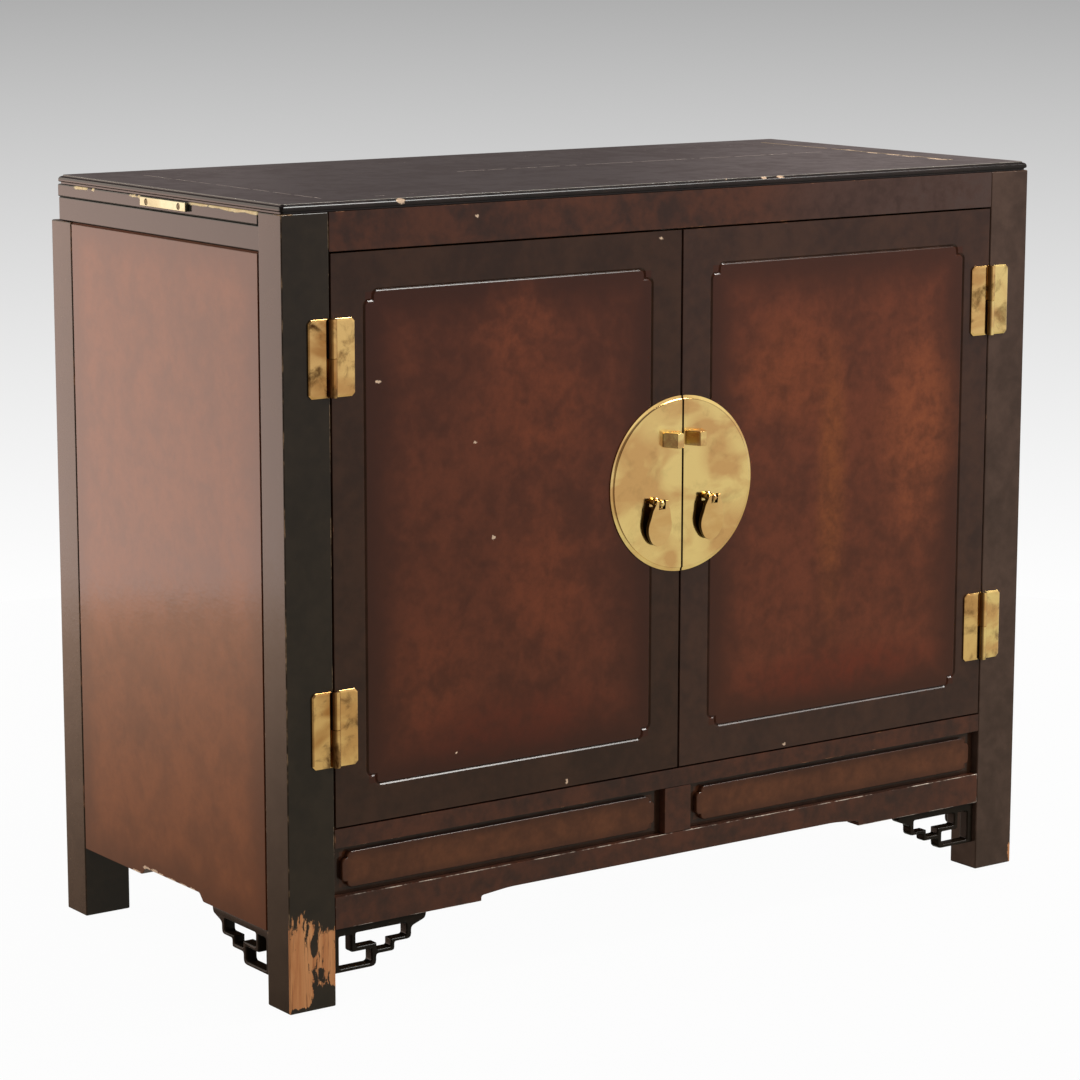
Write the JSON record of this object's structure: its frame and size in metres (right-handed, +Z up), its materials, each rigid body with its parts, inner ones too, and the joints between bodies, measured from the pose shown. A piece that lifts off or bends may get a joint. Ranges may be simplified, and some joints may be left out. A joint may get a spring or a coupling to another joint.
{
  "type": "buffet cabinet",
  "caption": "Low lacquered cabinet with hinged front doors, a round brass medallion over the seam, drop pulls, draw leaves under the top and corner frets.",
  "frame": {"origin": "bottom centre of the box round the closed cabinet, on the floor", "axes": "+X to the right as seen from the front, +Y towards the back, +Z up"},
  "size_m": [1.0166, 0.502, 0.838],
  "materials": {
    "dark_lacquer": "worn dark brown lacquer",
    "red_lacquer": "mottled red-brown lacquer",
    "black_lacquer": "glossy near-black lacquer, scratched",
    "brass": "polished, tarnished in blotches",
    "plain_wood": "unlacquered",
    "steel": "plain"
  },
  "bodies": {
    "cabinet": {"top": "black_lacquer", "front_rail": "dark_lacquer", "front_leaf_runner": "plain_wood", "back_leaf_runner": "plain_wood", "top_bearer": "plain_wood", "apron_top_rail": "dark_lacquer", "apron_foot_rail": "dark_lacquer", "apron_stile": "dark_lacquer", "apron_panel_left": "red_lacquer", "apron_panel_right": "red_lacquer", "bottom_board": "plain_wood", "back_panel": "plain_wood", "back_foot_rail": "plain_wood", "shelf": "plain_wood", "shelf_cleat_left": "plain_wood", "shelf_cleat_right": "plain_wood", "door_catch": "steel", "front_post_left": "dark_lacquer", "front_post_right": "dark_lacquer", "rear_post_left": "dark_lacquer", "rear_post_right": "dark_lacquer", "side_panel_left": "red_lacquer", "side_panel_right": "red_lacquer", "side_rail_left": "dark_lacquer", "side_rail_right": "dark_lacquer", "hinge_post_leaf_upper_left": "brass", "hinge_post_leaf_upper_right": "brass", "hinge_post_leaf_lower_left": "brass", "hinge_post_leaf_lower_right": "brass", "front_fret_left": "dark_lacquer", "front_fret_right": "dark_lacquer", "side_fret_left": "dark_lacquer", "side_fret_right": "dark_lacquer", "glide_front_left": "steel", "glide_front_right": "steel", "glide_rear_left": "steel", "glide_rear_right": "steel"},
    "door_left": {"door_left": "red_lacquer", "medallion_half_left": "brass", "lug_left": "brass", "pull_stud_left": "brass", "strike_left": "steel", "hinge_door_leaf_upper_left": "brass", "hinge_door_leaf_lower_left": "brass"},
    "door_right": {"door_right": "red_lacquer", "medallion_half_right": "brass", "lug_right": "brass", "pull_stud_right": "brass", "strike_right": "steel", "hinge_door_leaf_upper_right": "brass", "hinge_door_leaf_lower_right": "brass"},
    "drop_left": {"drop_pull_left": "brass"},
    "drop_right": {"drop_pull_right": "brass"},
    "leaf_left": {"leaf_left": "dark_lacquer", "leaf_pull_left": "brass", "leaf_stop_left": "plain_wood"},
    "leaf_right": {"leaf_right": "dark_lacquer", "leaf_pull_right": "brass", "leaf_stop_right": "plain_wood"}
  },
  "joints": [
    {"name": "door_left_hinge", "type": "hinge", "parent": "cabinet", "child": "door_left", "pos_m": [-0.4471, -0.2354, 0.4901], "axis": [0, 0, -1], "range_deg": [0, 175]},
    {"name": "door_right_hinge", "type": "hinge", "parent": "cabinet", "child": "door_right", "pos_m": [0.4471, -0.2354, 0.4901], "axis": [0, 0, 1], "range_deg": [0, 175]},
    {"name": "drop_left_swing", "type": "hinge", "parent": "door_left", "child": "drop_left", "pos_m": [-0.036, -0.2434, 0.4937], "axis": [-1, 0, 0], "range_deg": [0, 102]},
    {"name": "drop_right_swing", "type": "hinge", "parent": "door_right", "child": "drop_right", "pos_m": [0.036, -0.2434, 0.4937], "axis": [-1, 0, 0], "range_deg": [0, 102]},
    {"name": "leaf_left_slide", "type": "slide", "parent": "cabinet", "child": "leaf_left", "axis": [-1, 0, 0], "range_m": [0, 0.4]},
    {"name": "leaf_right_slide", "type": "slide", "parent": "cabinet", "child": "leaf_right", "axis": [1, 0, 0], "range_m": [0, 0.4]}
  ]
}
